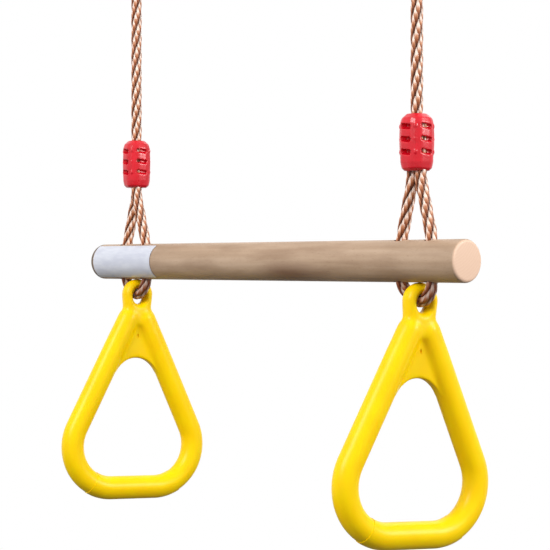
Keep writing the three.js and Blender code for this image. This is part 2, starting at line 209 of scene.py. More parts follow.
def smooth_route(points, spacing):
    corners = np.array([tuple(point) for point in points])
    before, after = 2 * corners[0] - corners[1], 2 * corners[-1] - corners[-2]
    corners = np.vstack([before, corners, after])
    fine = []
    for a, b, c, d in zip(corners, corners[1:], corners[2:], corners[3:]):
        gaps = [math.sqrt(np.linalg.norm(q - p)) for p, q in ((a, b), (b, c), (c, d))]
        t0, t1, t2, t3 = np.cumsum([0] + gaps)
        for t in np.linspace(t1, t2, FINE_STEPS, endpoint=False):
            ab = a + (b - a) * (t - t0) / (t1 - t0)
            bc = b + (c - b) * (t - t1) / (t2 - t1)
            cd = c + (d - c) * (t - t2) / (t3 - t2)
            abc = ab + (bc - ab) * (t - t0) / (t2 - t0)
            bcd = bc + (cd - bc) * (t - t1) / (t3 - t1)
            fine.append(abc + (bcd - abc) * (t - t1) / (t2 - t1))
    fine = np.array(fine + [corners[-2]])
    walked = np.concatenate([[0], np.cumsum(np.linalg.norm(np.diff(fine, axis=0), axis=1))])
    stations = np.linspace(0, walked[-1], max(2, round(walked[-1] / spacing)) + 1)
    line = np.column_stack([np.interp(stations, walked, fine[:, axis]) for axis in range(3)])
    return line, stations


def carried_frames(line):
    ahead = np.gradient(line, axis=0)
    ahead /= np.linalg.norm(ahead, axis=1, keepdims=True)
    start = np.array([0.0, 1.0, 0.0])
    sideways = []
    for direction in ahead:
        start = start - direction * start.dot(direction)
        start /= np.linalg.norm(start)
        sideways.append(start)
    sideways = np.array(sideways)
    return ahead, sideways, np.cross(ahead, sideways)


# %% [markdown]
# ## The braided rope
# The rope is a solid braid of shiny polypropylene. Its face shows long stitches that lie almost
# along the rope, twelve of them side by side round it, and each one sits a third of a stitch
# lower than its neighbour, which draws the slanting rows. A picture of that on a plain tube would
# look flat at the edges. So each strand is a real strand here: it rises to the face, shows for
# one stitch, dives into the rope for the next one while its partner takes its place, and rises
# again. A plain core closes the middle, and the rope material paints it near black as painted
# shade between the strands. Two UV maps go with the strands: one for the yarn's fine lines, and
# one that says how high the strand stands and how far up its stitch it is, which the material
# uses for its painted highlight and painted shade.

# %% Braid sizes
ROPE_RADIUS = 5 * MM
STITCH_PEAK = 5.25 * MM
STITCH_COLUMNS = 12
STITCH_LENGTH = 17 * MM
STITCH_STEP = STITCH_LENGTH / 3
STITCH_TWIST = math.radians(6)
STITCH_SLANT = math.radians(-3)
STITCH_WANDER = math.radians(3)
STITCH_WANDER_LENGTH = 9 * MM
WANDER_SHIFT = 2.4
STRAND_HALF_WIDTH = 1.85 * MM
STRAND_NARROWEST = 0.45
STRAND_HALF_THICKNESS = 1.15 * MM
STRAND_DEPTH = 2.5 * MM
STRAND_SIDES = 8
CORE_RADIUS = 3.0 * MM
CORE_SIDES = 12
ROPE_SPACING = 1.0 * MM


# %% Braid a rope along a route
def strand_tube(line, frames, angle, radius, half_width, half_thickness, sides):
    _, sideways, across = frames
    outward = sideways * np.cos(angle)[:, None] + across * np.sin(angle)[:, None]
    around = across * np.cos(angle)[:, None] - sideways * np.sin(angle)[:, None]
    centre = line + outward * radius[:, None]
    turn = np.arange(sides) * 2 * math.pi / sides
    rings = (
        centre[:, None, :]
        + around[:, None, :] * (half_width[:, None] * np.cos(turn)[None, :])[:, :, None]
        + outward[:, None, :] * (half_thickness * np.sin(turn))[None, :, None]
    )
    return rings.reshape(-1, 3)


def tube_faces(count, sides, offset):
    faces = []
    for i in range(count - 1):
        for j in range(sides):
            k = (j + 1) % sides
            a, b = offset + i * sides, offset + (i + 1) * sides
            faces.append((a + j, b + j, b + k, a + k))
    faces.append(tuple(offset + j for j in range(sides)))
    faces.append(tuple(offset + (count - 1) * sides + j for j in reversed(range(sides))))
    return faces


def uv_map(mesh, name, across, along):
    corner_vertex = np.empty(len(mesh.loops), dtype=np.int32)
    mesh.loops.foreach_get("vertex_index", corner_vertex)
    places = np.column_stack([across[corner_vertex], along[corner_vertex]])
    mesh.uv_layers.new(name=name).data.foreach_set("uv", places.astype(np.float32).ravel())


def braided_rope(name, route):
    line, walked = smooth_route(route, ROPE_SPACING)
    frames = carried_frames(line)
    # upward turns each stitch's place so that the rope material's painted highlight always falls
    # on its upper end
    upward = np.where(frames[0][:, 2] < 0, -1.0, 1.0)
    vertices, faces = [], []
    yarn_across, yarn_along, stitch_height, stitch_place = [], [], [], []
    step_angle = 2 * math.pi / STITCH_COLUMNS - STITCH_TWIST / 3
    for column in range(STITCH_COLUMNS):
        for partner in range(2):
            middle = column * STITCH_STEP + partner * STITCH_LENGTH
            phase = ((walked - middle) / STITCH_LENGTH + 1) % 2 - 1
            lift = 0.5 + 0.5 * np.cos(math.pi * phase)
            radius = STITCH_PEAK - STRAND_HALF_THICKNESS - STRAND_DEPTH * (1 - lift)
            turned = STITCH_TWIST * (walked - column * STITCH_STEP) / STITCH_LENGTH
            angle = step_angle * column - turned - STITCH_SLANT * np.sin(math.pi * phase)
            wander = np.sin(walked / STITCH_WANDER_LENGTH + WANDER_SHIFT * column)
            angle = angle + STITCH_WANDER * wander
            half_width = STRAND_HALF_WIDTH * (STRAND_NARROWEST + (1 - STRAND_NARROWEST) * lift)
            thick, sides = STRAND_HALF_THICKNESS, STRAND_SIDES
            offset = sum(len(block) for block in vertices)
            faces += tube_faces(len(line), sides, offset)
            vertices.append(strand_tube(line, frames, angle, radius, half_width, thick, sides))
            yarn_along.append(np.repeat(walked, sides))
            yarn_across.append(np.tile(np.arange(sides) / sides, len(line)) + column)
            outer = np.tile(np.sin(np.arange(sides) * 2 * math.pi / sides), len(line))
            height = np.repeat(radius, sides) + outer * thick
            stitch_height.append(height / STITCH_PEAK)
            stitch_place.append(np.repeat(0.5 + 0.5 * phase * upward, sides))
    # The core sits low in the stitch map, so the material paints it near black as painted shade
    still = np.zeros(len(line))
    offset = sum(len(block) for block in vertices)
    faces += tube_faces(len(line), CORE_SIDES, offset)
    core = still + CORE_RADIUS
    vertices.append(strand_tube(line, frames, still, still, core, CORE_RADIUS, CORE_SIDES))
    yarn_along.append(np.repeat(walked, CORE_SIDES))
    yarn_across.append(np.tile(np.arange(CORE_SIDES) / CORE_SIDES, len(line)))
    stitch_height.append(np.full(len(line) * CORE_SIDES, CORE_RADIUS / STITCH_PEAK))
    stitch_place.append(np.full(len(line) * CORE_SIDES, 0.5))

    mesh = bpy.data.meshes.new(name)
    mesh.from_pydata(np.vstack(vertices).tolist(), [], faces)
    mesh.update()
    uv_map(mesh, "yarn", np.concatenate(yarn_across), np.concatenate(yarn_along))
    uv_map(mesh, "stitch", np.concatenate(stitch_height), np.concatenate(stitch_place))
    piece = add_object(name, mesh)
    edit_all(piece)
    close_up(piece)
    bpy.ops.object.shade_smooth()
    return piece


# %% [markdown]
# ## Polypropylene yarn
# The rope is drawn polypropylene: thousands of smooth straight filaments laid side by side, so
# it shines along the strand like silk. That shine is painted into its warm copper brown as a
# painted highlight: the upper end of each stitch is painted almost white, whichever way the rope
# runs, and its lower end a darker brown as painted shade. Where a strand sinks, its height in the
# stitch map paints it near black, as painted shade in the grooves. A noise that is stretched along
# each strand stands for the filaments, and moves both the colour and a small bump. Its scale is
# coarser than the real filaments, which would be too fine to show. Under the bar the yarn is
# painted darker, as a painted shadow of the bar.

# %% Rope material
FILAMENT_SHARE = 0.16
# The yarn's painted shadow under the bar deepens between these two heights
BAR_SHADOW_FROM = -409 * MM
BAR_SHADOW_TO = -417 * MM
BAR_SHADOW_SHARE = 0.5
rope_material, tree, shader = start_material(
    "polypropylene_yarn", Roughness=0.36, IOR=1.49, Specular_IOR_Level=0.3
)
yarn = add_node(tree, "ShaderNodeUVMap", {"uv_map": "yarn"}).outputs["UV"]
stretch = add_node(tree, "ShaderNodeMapping", inputs={"Vector": yarn, "Scale": (12, 140, 1)})
filaments = add_node(
    tree,
    "ShaderNodeTexNoise",
    inputs={"Vector": stretch.outputs["Vector"], "Scale": 1.0, "Detail": 3.0, "Roughness": 0.6},
).outputs["Fac"]
stitch_place = add_node(tree, "ShaderNodeUVMap", {"uv_map": "stitch"}).outputs["UV"]
stitch = add_node(tree, "ShaderNodeSeparateXYZ", inputs=[stitch_place]).outputs
ragged = add_node(
    tree,
    "ShaderNodeMath",
    {"operation": "MULTIPLY_ADD"},
    [filaments, FILAMENT_SHARE, stitch["Y"]],
)
# Painted highlight: the upper end of each stitch is painted near white and its lower end darker
# brown, as light from above would fall
stitch_colour_and_painted_highlight = add_node(
    tree,
    "ShaderNodeValToRGB",
    inputs=[ragged.outputs[0]],
    stops=[(0.38, "#54260F"), (0.52, "#9A552F"), (0.6, "#CC8C66"), (0.68, "#FFE6D6")],
)
# Painted shade: strands sunk between their neighbours, and the core, are painted near black
painted_groove_shade = add_node(tree, "ShaderNodeMapRange", inputs=[stitch["X"], 0.6, 0.92, 1.0, 0.0])
place = add_node(tree, "ShaderNodeTexCoord").outputs["Object"]
height = add_node(tree, "ShaderNodeSeparateXYZ", inputs=[place]).outputs["Z"]
# Painted shadow: below the bar's middle the yarn is painted darker, as the bar's shadow
painted_bar_shadow = add_node(
    tree, "ShaderNodeMapRange", inputs=[height, BAR_SHADOW_FROM, BAR_SHADOW_TO, 0.0, BAR_SHADOW_SHARE]
)
yarn_colour_and_painted_light = stitch_colour_and_painted_highlight.outputs["Color"]
for share, hex_colour in ((painted_groove_shade, "#2C130B"), (painted_bar_shadow, "#64281A")):
    inputs = {0: share.outputs["Result"], 6: yarn_colour_and_painted_light, 7: linear(hex_colour)}
    yarn_colour_and_painted_light = add_node(tree, "ShaderNodeMix", {"data_type": "RGBA"}, inputs).outputs[2]
yarn_bump = add_node(
    tree, "ShaderNodeBump", inputs={"Height": filaments, "Strength": 0.4, "Distance": 0.15 * MM}
)
tree.links.new(yarn_colour_and_painted_light, shader.inputs["Base Color"])
tree.links.new(yarn_bump.outputs["Normal"], shader.inputs["Normal"])

# %% [markdown]
# ## Where the ropes run
# These are the heights and routes of the CAD model, repeated here in metres. The free stretch of
# each rope is straight and taut. Below the lower clamp the rope goes down one leg, through the
# bar, under it through the eye of the gym ring, and back up. Above the upper clamp it doubles
# back through the steel ring.

# %% Heights and rope routes
ROPE_X = 194 * MM
ROPE_LENGTH = 160 * MM
BAR_Z = -399.6 * MM
BAR_RADIUS = 17.5 * MM
BAR_TOP = BAR_Z + BAR_RADIUS
BAR_UNDERSIDE = BAR_Z - BAR_RADIUS
UPPER_MOUTH = -119.6 * MM
UPPER_HEEL = -73 * MM
LOWER_MOUTH = -279.6 * MM
LOWER_HEEL = -326.2 * MM
CHANNEL_TOP = 7.95 * MM
LEG_HALF_PITCH = 5.2 * MM
HOLE_HALF_PITCH = 17 * MM
EYE_DROP = 15.3 * MM
LOWER_WIRE = -43 * MM
CROWN_RADIUS = 8.3 * MM
LEG_END_INSET = 0.45 * MM
LOOP_STEPS = 10
CROWN_STEPS = 8
FREE_STEPS = 20
SIDES = {
    "left": {
        "x": -ROPE_X,
        "pair_turn": math.radians(-36),
        "clamp_turn": math.radians(-10.5),
        "leg_lean": 1 * MM,
        "eye_back": 0.7 * MM,
        "ring_yaw": math.radians(-11.3),
        "ring_lean": math.radians(-2.3),
        "ring_tip": math.radians(-1.5),
    },
    "right": {
        "x": ROPE_X,
        "pair_turn": math.radians(-6),
        "clamp_turn": math.radians(-5),
        "leg_lean": 0.3 * MM,
        "eye_back": 3.8 * MM,
        "ring_yaw": math.radians(-10.3),
        "ring_lean": math.radians(-3.1),
        "ring_tip": 0,
    },
}


def bar_loop_route(facts):
    x, turn, lean = facts["x"], facts["pair_turn"], facts["leg_lean"]

    def turned_out(reach, height):
        return Vector((x + reach * math.cos(turn), reach * math.sin(turn), height))

    def leg(side):
        top = LOWER_MOUTH - CHANNEL_TOP
        bottom = LOWER_HEEL + LEG_END_INSET
        leaving = turned_out(side * LEG_HALF_PITCH, LOWER_HEEL - ROPE_RADIUS)
        rim = Vector((x + side * (HOLE_HALF_PITCH - lean), side * lean * math.sin(turn), BAR_TOP))
        return [
            turned_out(side * LEG_HALF_PITCH, top),
            turned_out(side * LEG_HALF_PITCH, (top + bottom) / 2),
            turned_out(side * LEG_HALF_PITCH, bottom),
            leaving,
            (leaving + rim) / 2,
            rim,
            Vector((x + side * HOLE_HALF_PITCH, 0, BAR_Z)),
            Vector((x + side * HOLE_HALF_PITCH, 0, (BAR_Z + BAR_UNDERSIDE) / 2)),
        ]

    under = []
    for i in range(LOOP_STEPS + 1):
        angle = math.pi * i / LOOP_STEPS
        reach = -HOLE_HALF_PITCH * math.cos(angle)
        yaw = facts["ring_yaw"] * math.sin(angle)
        behind = reach * math.sin(yaw) + facts["eye_back"] * math.sin(angle)
        height = BAR_UNDERSIDE - EYE_DROP * math.sin(angle)
        under.append(Vector((x + reach * math.cos(yaw), behind, height)))
    return leg(-1) + under + leg(1)[::-1]


def top_eye_route(x):
    def rise(side):
        top = UPPER_MOUTH + CHANNEL_TOP
        middle = (LEG_HALF_PITCH + CROWN_RADIUS) / 2
        return [
            Vector((x + side * LEG_HALF_PITCH, 0, top)),
            Vector((x + side * LEG_HALF_PITCH, 0, (top + UPPER_HEEL) / 2)),
            Vector((x + side * LEG_HALF_PITCH, 0, UPPER_HEEL)),
            Vector((x + side * middle, 0, (UPPER_HEEL + LOWER_WIRE) / 2)),
        ]

    crown = []
    for i in range(CROWN_STEPS + 1):
        angle = math.pi * (1 - i / CROWN_STEPS)
        lift = CROWN_RADIUS * math.sin(angle)
        crown.append(Vector((x + CROWN_RADIUS * math.cos(angle), 0, LOWER_WIRE + lift)))
    return rise(-1) + crown + rise(1)[::-1]


# %% Make the ropes
for side, facts in SIDES.items():
    x = facts["x"]
    heights = [LOWER_MOUTH + ROPE_LENGTH * i / FREE_STEPS for i in range(FREE_STEPS + 1)]
    free_route = [Vector((x, 0, height)) for height in heights]
    rope = braided_rope(f"{side}_braided_rope", free_route)
    dress(rope, f"{side}_rope_run", rope_material, [f"{side}_rope"])
    loop = braided_rope(f"{side}_braided_loop", bar_loop_route(facts))
    dress(loop, "bar", rope_material, [f"{side}_bar_loop"])
    eye = braided_rope(f"{side}_braided_eye", top_eye_route(x))
    dress(eye, f"{side}_eye", rope_material, [f"{side}_top_eye"])

# %% [markdown]
# ## The wooden bar
# The bar is a turned beech dowel with softly rounded ends and four drilled holes. It could be
# left as the CAD model has it, but that has 32 flat sides. A finer cylinder is added instead, its
# two end edges are bevelled, and the holes are cut with four drills. On the real bar their rims
# are eased a little by sanding, but here the cut edges are left sharp.

# %% Bar
HOLE_RADIUS = 6.5 * MM
BAR_LENGTH = 500 * MM
BAR_ROUNDING = 3 * MM
TINY = 1e-6


def edges_where(piece, test):
    select_only(piece)
    bpy.ops.object.mode_set(mode="EDIT")
    bpy.ops.mesh.select_mode(type="EDGE")
    bpy.ops.mesh.select_all(action="DESELECT")
    shape = bmesh.from_edit_mesh(piece.data)
    for edge in shape.edges:
        edge.select_set(test(edge.verts[0].co, edge.verts[1].co))
    bmesh.update_edit_mesh(piece.data)


bpy.ops.mesh.primitive_cylinder_add(
    vertices=160,
    radius=BAR_RADIUS,
    depth=BAR_LENGTH,
    location=(0, 0, BAR_Z),
    rotation=(0, math.pi / 2, 0),
)
bar = place_in_mesh(bpy.context.object, "beech_bar")
edges_where(bar, lambda a, b: abs(abs(a.x) - BAR_LENGTH / 2) < TINY and abs(a.x - b.x) < TINY)
bpy.ops.mesh.bevel(offset=BAR_ROUNDING, segments=8, profile=0.5)
bpy.ops.object.mode_set(mode="OBJECT")
for x in (-ROPE_X, ROPE_X):
    for reach in (-HOLE_HALF_PITCH, HOLE_HALF_PITCH):
        bpy.ops.mesh.primitive_cylinder_add(
            vertices=64, radius=HOLE_RADIUS, depth=4 * BAR_RADIUS, location=(x + reach, 0, BAR_Z)
        )
        combine(bar, bpy.context.object, "DIFFERENCE")
select_only(bar)
bpy.ops.object.shade_smooth_by_angle(angle=math.radians(40))

# %% [markdown]
# ## Beech
# Beech is a pale pinkish wood with a fine even grain: faint long streaks, and many short dark
# flecks, a few millimetres long and a third of a millimetre wide, which are its rays. The bar is
# sanded and waxed, so it has a soft sheen. The streaks are a noise stretched along the bar, the
# flecks a second one that shows only at its peaks. The sawn ends show end grain, with growth rings
# about a pith that lies outside the bar's middle, so rings are drawn there by the distance from
# that point, and the ends are painted paler, as painted light falling on the end faces. A brown
# streak of heartwood lies low on the front of the middle, and the rim outside the sticker is
# painted dark grey as painted shade, where the bar's end turns away from the light. Both are mixed
# in by place.

# %% Wood grain and distances
GRAINS = {
    "streaks": ((5, 150, 150), {"Detail": 4.0, "Roughness": 0.55}),
    "clouds": ((18, 70, 70), {"Detail": 3.0}),
    "flecks": ((280, 2200, 2200), {"Detail": 1.0}),
}
CENTRES = {
    "heart": ((-0.88, 0.66, 28.67), (16, 60, 70)),
    "pith": ((0, 22 * MM, 0.371), (0, 1, 1)),
}
wood_material, tree, shader = start_material("waxed_beech", Roughness=0.5, IOR=1.45)
place = add_node(tree, "ShaderNodeTexCoord").outputs["Object"]
along = add_node(tree, "ShaderNodeSeparateXYZ", inputs=[place]).outputs["X"]
grain = {}
for name, (scale, detail) in GRAINS.items():
    stretch = add_node(tree, "ShaderNodeMapping", inputs={"Vector": place, "Scale": scale})
    inputs = {"Vector": stretch.outputs["Vector"], "Scale": 1.0, **detail}
    grain[name] = add_node(tree, "ShaderNodeTexNoise", inputs=inputs).outputs["Fac"]
distance = {}
for name, (shift, scale) in CENTRES.items():
    inputs = {"Vector": place, "Location": shift, "Scale": scale}
    centred = add_node(tree, "ShaderNodeMapping", inputs=inputs).outputs["Vector"]
    length = add_node(tree, "ShaderNodeVectorMath", {"operation": "LENGTH"}, [centred])
    distance[name] = length.outputs["Value"]

# %% Wood colours
LABEL_RIM = -BAR_LENGTH / 2 + 6 * MM
YEARS_PER_METRE = 420.0
LAYERS = {
    "clouds": ([grain["clouds"], 0.42, 0.7, 0.0, 0.5], "#8A6C52"),
    "flecks": ([grain["flecks"], 0.62, 0.74, 0.0, 0.35], "#805C42"),
    "heartwood": ([distance["heart"], 0.2, 0.9, 0.6, 0.0], "#5A2E16"),
    # Painted shade: the rim at the bar's left end is painted dark grey where the end turns from
    # the light
    "painted_end_shade": ([along, LABEL_RIM, LABEL_RIM - 2 * MM, 0.0, 0.8], "#3E3832"),
}
wood = add_node(
    tree,
    "ShaderNodeValToRGB",
    inputs=[grain["streaks"]],
    stops=[(0.3, "#A68A70"), (0.5, "#B3977D"), (0.7, "#BDA289")],
).outputs["Color"]
share = {}
for name, (ends, hex_colour) in LAYERS.items():
    share[name] = add_node(tree, "ShaderNodeMapRange", inputs=ends).outputs["Result"]
    inputs = {0: share[name], 6: wood, 7: linear(hex_colour)}
    wood = add_node(tree, "ShaderNodeMix", {"data_type": "RGBA"}, inputs).outputs[2]
years = add_node(
    tree,
    "ShaderNodeMath",
    {"operation": "MULTIPLY_ADD"},
    [distance["pith"], YEARS_PER_METRE, grain["streaks"]],
)
year = add_node(tree, "ShaderNodeMath", {"operation": "FRACT"}, [years.outputs[0]])
# End grain rings, painted much paler than the side wood as painted light falling on the end faces
end_grain_and_painted_light = add_node(
    tree,
    "ShaderNodeValToRGB",
    inputs=[year.outputs[0]],
    stops=[(0.0, "#E6C1A6"), (0.75, "#E9C6AC"), (1.0, "#E4BEA2")],
)
from_middle = add_node(tree, "ShaderNodeMath", {"operation": "ABSOLUTE"}, [along])
sawn = add_node(
    tree,
    "ShaderNodeMapRange",
    inputs=[from_middle.outputs[0], BAR_LENGTH / 2 - 1.6 * MM, BAR_LENGTH / 2 - 0.4 * MM],
)
wood_colour = add_node(
    tree,
    "ShaderNodeMix",
    {"data_type": "RGBA"},
    {0: sawn.outputs["Result"], 6: wood, 7: end_grain_and_painted_light.outputs["Color"]},
)
wood_bump = add_node(
    tree,
    "ShaderNodeBump",
    {"invert": True},
    {"Height": share["flecks"], "Strength": 0.3, "Distance": 0.1 * MM},
)
tree.links.new(wood_colour.outputs[2], shader.inputs["Base Color"])
tree.links.new(wood_bump.outputs["Normal"], shader.inputs["Normal"])
dress(bar, "bar", wood_material, ["wooden_bar"])

# %% [markdown]
# ## The sticker
# A sheet of vinyl film is stuck round the front of the bar's left end. It could be bent by a
# deform modifier, but a flat sheet is easy to wrap in code: the sheet is cut into narrow strips
# with bisect, each point's height turns into an angle round the bar, and Solidify gives the film
# its thickness. Its face is left bare.

# %% Sticker
LABEL_LENGTH = 95 * MM
LABEL_THICKNESS = 0.4 * MM
LABEL_END = -BAR_LENGTH / 2 + 6.5 * MM
LABEL_HALF_ANGLE = math.radians(59)
LABEL_STRIPS = 40
LABEL_CORNER = 0.8 * MM
LABEL_RADIUS = BAR_RADIUS + 0.3 * MM
label_height = 2 * LABEL_HALF_ANGLE * LABEL_RADIUS
bpy.ops.mesh.primitive_plane_add(size=1, location=(LABEL_END + LABEL_LENGTH / 2, 0, 0))
bpy.context.object.scale = (LABEL_LENGTH, label_height, 1)
label = place_in_mesh(bpy.context.object, "vinyl_sticker")
edit_all(label)
bpy.ops.mesh.bevel(offset=LABEL_CORNER, segments=4, affect="VERTICES")
for i in range(1, LABEL_STRIPS):
    bpy.ops.mesh.select_all(action="SELECT")
    cut = (0, label_height * (i / LABEL_STRIPS - 0.5), 0)
    bpy.ops.mesh.bisect(plane_co=cut, plane_no=(0, 1, 0))
bpy.ops.object.mode_set(mode="OBJECT")
for vertex in label.data.vertices:
    angle = vertex.co.y / LABEL_RADIUS
    vertex.co.y = -LABEL_RADIUS * math.cos(angle)
    vertex.co.z = BAR_Z + LABEL_RADIUS * math.sin(angle)
edit_all(label)
close_up(label)
outward = sum(face.normal.y * face.area for face in label.data.polygons)
grow = 1.0 if outward < 0 else -1.0
apply_modifier(label, "SOLIDIFY", thickness=LABEL_THICKNESS, offset=grow)
select_only(label)
bpy.ops.object.shade_smooth_by_angle(angle=math.radians(30))

# %% [markdown]
# ## Vinyl film
# White vinyl film is smooth and slightly glossy. Seen close, it is a cool white with the faintest
# mottling, where the film lies over the wood's grain. A soft noise gives it that.

# %% Sticker material
film_material, tree, shader = start_material("white_vinyl_film", Roughness=0.3, IOR=1.5)
place = add_node(tree, "ShaderNodeTexCoord").outputs["Object"]
stretch = add_node(tree, "ShaderNodeMapping", inputs={"Vector": place, "Scale": (60, 200, 200)})
mottle = add_node(
    tree,
    "ShaderNodeTexNoise",
    inputs={"Vector": stretch.outputs["Vector"], "Scale": 1.0, "Detail": 3.0},
).outputs["Fac"]
film_colour = add_node(
    tree, "ShaderNodeValToRGB", inputs=[mottle], stops=[(0.35, "#C6C9D6"), (0.65, "#D3D6E0")]
)
film_bump = add_node(
    tree, "ShaderNodeBump", inputs={"Height": mottle, "Strength": 0.15, "Distance": 0.2 * MM}
)
tree.links.new(film_colour.outputs["Color"], shader.inputs["Base Color"])
tree.links.new(film_bump.outputs["Normal"], shader.inputs["Normal"])
dress(label, "bar", film_material, ["end_label"])

# %% [markdown]
# ## The rope clamps
# A clamp is red plastic moulded round the rope: a barrel with rounded corners that draws in to a
# collar at its mouth and to a rounded heel, with three windows on each face, where pins held the
# rope in the mould, a low rib down each corner, and a small boss on it beside every window. A
# plane with rounded corners is extruded from station to station and scaled at each one. Windows,
# the legs' channel and the mouth's seat are cut from it. A voxel remesh then makes barrel and
# bosses one skin, and a smooth modifier gives every edge the small round that a mould has.

# %% Clamp sizes
CLAMP_LENGTH = LOWER_MOUTH - LOWER_HEEL
CLAMP_WIDTH = 24.8 * MM
CLAMP_CORNER_SHARE = 0.4
CLAMP_STATIONS = [
    (-CLAMP_LENGTH, 18.4 * MM),
    (-44.4 * MM, 22.8 * MM),
    (-39.6 * MM, CLAMP_WIDTH),
    (-23.3 * MM, 25.6 * MM),
    (-7.5 * MM, CLAMP_WIDTH),
    (-3.4 * MM, 22.4 * MM),
    (0, 15.2 * MM),
]
WINDOW_HEIGHTS = [-10.5 * MM, -20.9 * MM, -31.3 * MM]
SHALLOW_WINDOW = [
    (9.5 * MM, 9 * MM, 2.4 * MM, 0.6 * MM),
    (16 * MM, 15.4 * MM, 6.4 * MM, -0.9 * MM),
]
DEEP_WINDOW = [
    (6.5 * MM, 8 * MM, 3 * MM, 0.3 * MM),
    (16 * MM, 15 * MM, 5.6 * MM, -0.5 * MM),
]
WINDOW_CORNER = 0.9 * MM
WINDOW_SLOPE = math.radians(-7)
CORNER_BOSS_RADIUS = 1.9 * MM
CORNER_BOSS_REACH = 12.6 * MM
CORNER_BOSS_STRETCH = 1.5
CORNER_RIB_REACH = 12.4 * MM
CORNER_RIB_STRETCH = 9
CHANNEL_RADIUS = ROPE_RADIUS - 0.3 * MM
CHANNEL_END_WALL = 7.5 * MM
SOCKET_RADIUS = ROPE_RADIUS + 0.5 * MM
CUT_OVERRUN = 2 * MM
CLAMP_VOXEL = 0.42 * MM
CLAMP_SMOOTHING = 5


# %% Clamp parts
def loft(name, corner, stations):
    height, width, depth, shift = stations[0]
    bpy.ops.mesh.primitive_plane_add(size=1, location=(0, shift, height))
    bpy.context.object.scale = (width, depth, 1)
    piece = place_in_mesh(bpy.context.object, name)
    edit_all(piece)
    bpy.ops.mesh.bevel(offset=corner, segments=10, affect="VERTICES")
    bpy.ops.mesh.select_all(action="SELECT")
    for next_height, next_width, next_depth, next_shift in stations[1:]:
        step = (0, next_shift - shift, next_height - height)
        bpy.ops.mesh.extrude_region_move(TRANSFORM_OT_translate={"value": step})
        bpy.ops.transform.resize(value=(next_width / width, next_depth / depth, 1))
        height, width, depth, shift = next_height, next_width, next_depth, next_shift
    return close_up(piece)


def leg_channel(pair_angle):
    width = 2 * (LEG_HALF_PITCH + CHANNEL_RADIUS)
    stations = [
        (-CLAMP_LENGTH - CUT_OVERRUN, width, 2 * CHANNEL_RADIUS, 0),
        (-CHANNEL_END_WALL, width, 2 * CHANNEL_RADIUS, 0),
    ]
    channel = loft("leg_channel", CHANNEL_RADIUS - 0.01 * MM, stations)
    channel.rotation_euler = (0, 0, pair_angle)
    return place_in_mesh(channel, "leg_channel")


def opposite_windows(first_face, stations):
    window = loft("clamp_window", WINDOW_CORNER, stations)
    turned_up = Matrix.Rotation(math.pi / 2, 4, "Z") @ Matrix.Rotation(math.pi / 2, 4, "X")
    windows = []
    for face in (first_face, first_face + 2):
        for height in WINDOW_HEIGHTS:
            copy = add_object("clamp_window", window.data.copy())
            turn = Matrix.Rotation(face * math.pi / 2, 4, "Z")
            tilt = Matrix.Rotation(WINDOW_SLOPE, 4, "X")
            copy.matrix_world = turn @ Matrix.Translation((0, 0, height)) @ tilt @ turned_up
            windows.append(copy)
    bpy.data.objects.remove(window, do_unlink=True)
    return join(windows, "clamp_windows")


def corner_bosses():
    bosses = []
    for corner in range(4):
        angle = math.pi / 4 + corner * math.pi / 2
        spots = [(CORNER_BOSS_REACH, height, CORNER_BOSS_STRETCH) for height in WINDOW_HEIGHTS]
        spots.append((CORNER_RIB_REACH, WINDOW_HEIGHTS[1], CORNER_RIB_STRETCH))
        for reach, height, stretch in spots:
            place = (reach * math.cos(angle), reach * math.sin(angle), height)
            bpy.ops.mesh.primitive_uv_sphere_add(
                segments=24, ring_count=12, radius=CORNER_BOSS_RADIUS, location=place
            )
            bpy.context.object.scale = (1, 1, stretch)
            bosses.append(bpy.context.object)
    return bosses


def rope_clamp(pair_angle):
    stations = [(height, width, width, 0) for height, width in CLAMP_STATIONS]
    barrel = loft("clamp_barrel", CLAMP_CORNER_SHARE * CLAMP_STATIONS[0][1], stations)
    combine(barrel, leg_channel(pair_angle), "DIFFERENCE")
    combine(barrel, opposite_windows(0, SHALLOW_WINDOW), "DIFFERENCE")
    combine(barrel, opposite_windows(1, DEEP_WINDOW), "DIFFERENCE")
    bpy.ops.mesh.primitive_uv_sphere_add(segments=32, ring_count=16, radius=SOCKET_RADIUS)
    combine(barrel, bpy.context.object, "DIFFERENCE")
    clamp = join([barrel, *corner_bosses()], "clamp")
    apply_modifier(clamp, "REMESH", mode="VOXEL", voxel_size=CLAMP_VOXEL, adaptivity=0.0)
    apply_modifier(clamp, "SMOOTH", factor=0.5, iterations=CLAMP_SMOOTHING)
    return clamp


# %% [markdown]
# ## Red moulded plastic
# The clamps are polypropylene, coloured right through and moulded against a polished steel
# mould. That leaves a glossy skin with very shallow waves, where the plastic shrank as it cooled.
# Two noises stand for these: broad waves, a few millimetres across, and a finer grain.


# %% Moulded plastic materials
GRAIN_SIZE = 0.8 * MM


